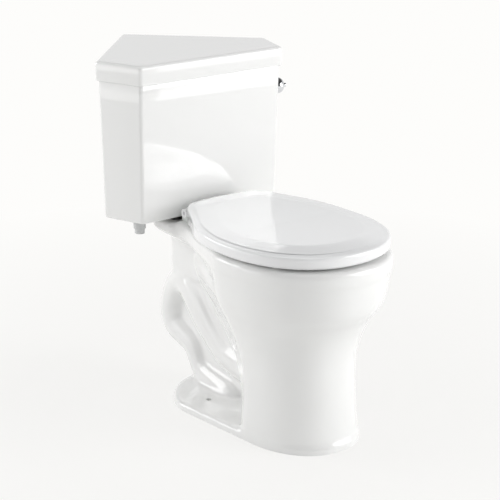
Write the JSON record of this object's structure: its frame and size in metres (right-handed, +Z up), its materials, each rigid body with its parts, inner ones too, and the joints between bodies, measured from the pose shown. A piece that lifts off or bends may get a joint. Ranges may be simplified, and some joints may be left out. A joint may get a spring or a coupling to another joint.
{
  "type": "corner toilet",
  "caption": "Two-piece corner toilet: elongated bowl with an exposed trapway, triangular tank with a side lever, hinged seat ring and cover, flush and fill valves inside.",
  "frame": {"origin": "centre of the waste outlet in the floor face of the bowl", "axes": "+Z up, -Y to the front of the bowl, +Y to the corner of the room, +X to the right of someone facing the front"},
  "size_m": [0.4664, 0.8458, 0.77],
  "materials": {
    "china": "glossy white glaze over vitreous china",
    "black_rubber": "black soft rubber",
    "bumper_rubber": "white soft bumper",
    "red_rubber": "red moulded rubber",
    "brass": "plain brass",
    "steel": "stainless steel",
    "chrome": "polished chrome",
    "white_plastic": "white moulded plastic",
    "grey_plastic": "pale grey moulded plastic",
    "blue_plastic": "blue moulded plastic",
    "clear_tube": "milky flexible tube",
    "seat_plastic": "glossy white plastic",
    "hinge_plastic": "translucent white plastic"
  },
  "bodies": {
    "root": {"bowl": "china", "tank": "china", "tank_gasket": "black_rubber", "tank_bolts": "brass", "tank_bolt_seals": "black_rubber", "tank_cushions": "black_rubber", "tank_bolt_washers": "brass", "tank_wing_nuts": "brass", "flush_valve_body": "white_plastic", "overflow_tube": "white_plastic", "flush_valve_seal": "black_rubber", "flush_valve_locknut": "white_plastic", "refill_tube": "clear_tube", "refill_clip": "grey_plastic", "fill_valve_shank": "grey_plastic", "fill_valve_riser": "white_plastic", "fill_valve_cap": "white_plastic", "fill_valve_seal": "black_rubber", "fill_valve_locknut": "grey_plastic", "handle_bushing": "white_plastic", "handle_nut": "white_plastic", "hinge_base_left": "hinge_plastic", "hinge_base_right": "hinge_plastic", "hinge_pins": "steel", "seat_bolts": "hinge_plastic", "seat_bolt_washers": "hinge_plastic", "seat_wing_nuts": "hinge_plastic"},
    "ring": {"seat_ring": "seat_plastic", "ring_bumpers": "bumper_rubber"},
    "cover": {"seat_cover": "seat_plastic", "cover_bumpers": "bumper_rubber"},
    "lid": {"tank_lid": "china"},
    "handle": {"flush_handle": "chrome", "trip_arm": "brass", "arm_set_screw": "steel"},
    "chain": {"lift_chain": "steel", "chain_clip": "steel"},
    "flapper": {"flapper": "red_rubber", "flapper_seal": "black_rubber"},
    "float": {"float_cup": "grey_plastic", "float_rod": "brass", "float_adjuster": "blue_plastic"},
    "valve_lever": {"valve_lever": "grey_plastic"},
    "cap_left": {"hinge_cap_left": "hinge_plastic"},
    "cap_right": {"hinge_cap_right": "hinge_plastic"}
  },
  "joints": [
    {"name": "seat_hinge", "type": "hinge", "parent": "root", "child": "ring", "pos_m": [0, 0.05, 0.442], "axis": [-1, 0, 0], "range_deg": [0, 91.5]},
    {"name": "cover_hinge", "type": "hinge", "parent": "ring", "child": "cover", "pos_m": [0, 0.05, 0.442], "axis": [1, 0, 0], "range_deg": [-91.5, 0]},
    {"name": "lid_lift", "type": "slide", "parent": "root", "child": "lid", "axis": [0, 0, 1], "range_m": [0, 0.15]},
    {"name": "handle_turn", "type": "hinge", "parent": "root", "child": "handle", "pos_m": [0.2023, 0.12689, 0.671], "axis": [-0.944, 0.33, 0], "range_deg": [0, 30]},
    {"name": "chain_swing", "type": "hinge", "parent": "handle", "child": "chain", "pos_m": [0, 0.122, 0.671], "axis": [-0.944, 0.33, 0], "range_deg": [-30.23, 0]},
    {"name": "flapper_hinge", "type": "hinge", "parent": "root", "child": "flapper", "pos_m": [0, 0.192, 0.466], "axis": [-1, 0, 0], "range_deg": [0, 30.67]},
    {"name": "float_rise", "type": "slide", "parent": "root", "child": "float", "axis": [0, 0, 1], "range_m": [0, 0.014]},
    {"name": "valve_lever_hinge", "type": "hinge", "parent": "root", "child": "valve_lever", "pos_m": [-0.172, 0.141, 0.675], "axis": [0, -1, 0], "range_deg": [0, 20.06]},
    {"name": "cap_left_hinge", "type": "hinge", "parent": "root", "child": "cap_left", "pos_m": [-0.0715, 0.0823, 0.4288], "axis": [-1, 0, 0], "range_deg": [0, 100]},
    {"name": "cap_right_hinge", "type": "hinge", "parent": "root", "child": "cap_right", "pos_m": [0.0715, 0.0823, 0.4288], "axis": [-1, 0, 0], "range_deg": [0, 100]}
  ],
  "couplings": [
    {"joint": "chain_swing", "follows": "handle_turn", "ratio": -1.0074},
    {"joint": "flapper_hinge", "follows": "handle_turn", "ratio": 1.022},
    {"joint": "valve_lever_hinge", "follows": "float_rise", "rad_per_m": 25}
  ]
}
